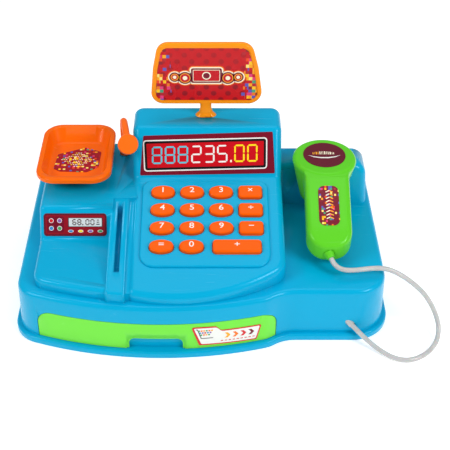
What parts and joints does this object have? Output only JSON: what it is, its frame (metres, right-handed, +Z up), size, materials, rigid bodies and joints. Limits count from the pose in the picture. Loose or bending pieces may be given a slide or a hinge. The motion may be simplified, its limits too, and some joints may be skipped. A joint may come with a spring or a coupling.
{
  "type": "toy cash register",
  "caption": "Toy cash register with a sloped key panel, display box, pull-out drawer, weighing pan, swivel sign, bent microphone and a corded hand scanner in a cradle.",
  "frame": {"origin": "middle of the foot's outline, on the table", "axes": "+X to the right, +Y to the back, +Z up; the drawer faces -Y"},
  "size_m": [0.3404, 0.1924, 0.187],
  "materials": {
    "blue_plastic": "glossy moulded",
    "green_plastic": "glossy moulded",
    "orange_plastic": "glossy moulded",
    "display_print": "printed film",
    "scale_print": "printed film",
    "drawer_print": "printed film",
    "pan_print": "printed film",
    "sign_print": "printed film",
    "scanner_print": "printed film",
    "key_rubber": "satin",
    "circuit_board": "satin",
    "dark_plastic": "matt",
    "cell_jacket": "glossy sleeve",
    "steel": "plated",
    "cord_vinyl": "clear white vinyl",
    "red_window": "clear red"
  },
  "bodies": {
    "register": {"upper_housing": "blue_plastic", "lower_housing": "blue_plastic", "display_label": "display_print", "scale_label": "scale_print", "keypad_mat": "key_rubber", "keypad_circuit_board": "circuit_board", "speaker": "dark_plastic", "battery_cell_front": "cell_jacket", "battery_cell_rear": "cell_jacket", "battery_contact_springs": "steel", "battery_contact_plates": "steel", "battery_door": "blue_plastic", "battery_door_screw": "steel", "housing_screws": "steel", "cord_stopper": "cord_vinyl", "scanner_cord": "cord_vinyl", "scale_spring": "steel"},
    "drawer": {"cash_drawer": "green_plastic", "drawer_label": "drawer_print"},
    "scale": {"scale_pan": "orange_plastic", "scale_pan_label": "pan_print"},
    "sign": {"sign_board": "orange_plastic", "sign_label": "sign_print"},
    "microphone": {"microphone_stalk": "orange_plastic", "microphone_grille": "orange_plastic"},
    "scanner": {"scanner_upper_shell": "green_plastic", "scanner_lower_shell": "green_plastic", "scanner_head_label": "scanner_print", "scanner_grip_label": "scanner_print", "scanner_lens": "red_window", "scanner_lamp": "circuit_board", "scanner_circuit_board": "circuit_board", "scanner_trigger_switch": "dark_plastic", "scanner_screws": "steel"},
    "trigger": {"scanner_trigger": "orange_plastic"},
    "button_1": {"key_1": "orange_plastic"},
    "button_2": {"key_2": "orange_plastic"},
    "button_3": {"key_3": "orange_plastic"},
    "button_multiply": {"key_multiply": "orange_plastic"},
    "button_4": {"key_4": "orange_plastic"},
    "button_5": {"key_5": "orange_plastic"},
    "button_6": {"key_6": "orange_plastic"},
    "button_divide": {"key_divide": "orange_plastic"},
    "button_7": {"key_7": "orange_plastic"},
    "button_8": {"key_8": "orange_plastic"},
    "button_9": {"key_9": "orange_plastic"},
    "button_minus": {"key_minus": "orange_plastic"},
    "button_equals": {"key_equals": "orange_plastic"},
    "button_0": {"key_0": "orange_plastic"},
    "button_plus": {"key_plus": "orange_plastic"}
  },
  "joints": [
    {"name": "drawer_slide", "type": "slide", "parent": "register", "child": "drawer", "axis": [0, -1, 0], "range_m": [0, 0.07]},
    {"name": "scale_press", "type": "slide", "parent": "register", "child": "scale", "axis": [0, 0, -1], "range_m": [0, 0.0035], "stiffness_N_per_m": 400, "springref_m": -0.001, "deforming": ["scale_spring"]},
    {"name": "sign_swivel", "type": "hinge", "parent": "register", "child": "sign", "pos_m": [0.0028, 0.072, 0.12], "axis": [0, 0, 1], "range_deg": [-90, 90]},
    {"name": "microphone_swivel", "type": "hinge", "parent": "register", "child": "microphone", "pos_m": [-0.0665, 0.072, 0.08], "axis": [0, 0, 1], "range_deg": [-90, 0]},
    {"name": "scanner_lift", "type": "slide", "parent": "register", "child": "scanner", "axis": [0, 0, 1], "range_m": [0, 0.03]},
    {"name": "trigger_press", "type": "slide", "parent": "scanner", "child": "trigger", "axis": [0, 0, 1], "range_m": [0, 0.0014], "stiffness_N_per_m": 300},
    {"name": "press_1", "type": "slide", "parent": "register", "child": "button_1", "axis": [0, 0.2425, -0.9701], "range_m": [0, 0.002], "stiffness_N_per_m": 250, "springref_m": -0.0004},
    {"name": "press_2", "type": "slide", "parent": "register", "child": "button_2", "axis": [0, 0.2425, -0.9701], "range_m": [0, 0.002], "stiffness_N_per_m": 250, "springref_m": -0.0004},
    {"name": "press_3", "type": "slide", "parent": "register", "child": "button_3", "axis": [0, 0.2425, -0.9701], "range_m": [0, 0.002], "stiffness_N_per_m": 250, "springref_m": -0.0004},
    {"name": "press_multiply", "type": "slide", "parent": "register", "child": "button_multiply", "axis": [0, 0.2425, -0.9701], "range_m": [0, 0.002], "stiffness_N_per_m": 250, "springref_m": -0.0004},
    {"name": "press_4", "type": "slide", "parent": "register", "child": "button_4", "axis": [0, 0.2425, -0.9701], "range_m": [0, 0.002], "stiffness_N_per_m": 250, "springref_m": -0.0004},
    {"name": "press_5", "type": "slide", "parent": "register", "child": "button_5", "axis": [0, 0.2425, -0.9701], "range_m": [0, 0.002], "stiffness_N_per_m": 250, "springref_m": -0.0004},
    {"name": "press_6", "type": "slide", "parent": "register", "child": "button_6", "axis": [0, 0.2425, -0.9701], "range_m": [0, 0.002], "stiffness_N_per_m": 250, "springref_m": -0.0004},
    {"name": "press_divide", "type": "slide", "parent": "register", "child": "button_divide", "axis": [0, 0.2425, -0.9701], "range_m": [0, 0.002], "stiffness_N_per_m": 250, "springref_m": -0.0004},
    {"name": "press_7", "type": "slide", "parent": "register", "child": "button_7", "axis": [0, 0.2425, -0.9701], "range_m": [0, 0.002], "stiffness_N_per_m": 250, "springref_m": -0.0004},
    {"name": "press_8", "type": "slide", "parent": "register", "child": "button_8", "axis": [0, 0.2425, -0.9701], "range_m": [0, 0.002], "stiffness_N_per_m": 250, "springref_m": -0.0004},
    {"name": "press_9", "type": "slide", "parent": "register", "child": "button_9", "axis": [0, 0.2425, -0.9701], "range_m": [0, 0.002], "stiffness_N_per_m": 250, "springref_m": -0.0004},
    {"name": "press_minus", "type": "slide", "parent": "register", "child": "button_minus", "axis": [0, 0.2425, -0.9701], "range_m": [0, 0.002], "stiffness_N_per_m": 250, "springref_m": -0.0004},
    {"name": "press_equals", "type": "slide", "parent": "register", "child": "button_equals", "axis": [0, 0.2425, -0.9701], "range_m": [0, 0.002], "stiffness_N_per_m": 250, "springref_m": -0.0004},
    {"name": "press_0", "type": "slide", "parent": "register", "child": "button_0", "axis": [0, 0.2425, -0.9701], "range_m": [0, 0.002], "stiffness_N_per_m": 250, "springref_m": -0.0004},
    {"name": "press_plus", "type": "slide", "parent": "register", "child": "button_plus", "axis": [0, 0.2425, -0.9701], "range_m": [0, 0.002], "stiffness_N_per_m": 250, "springref_m": -0.0004}
  ]
}
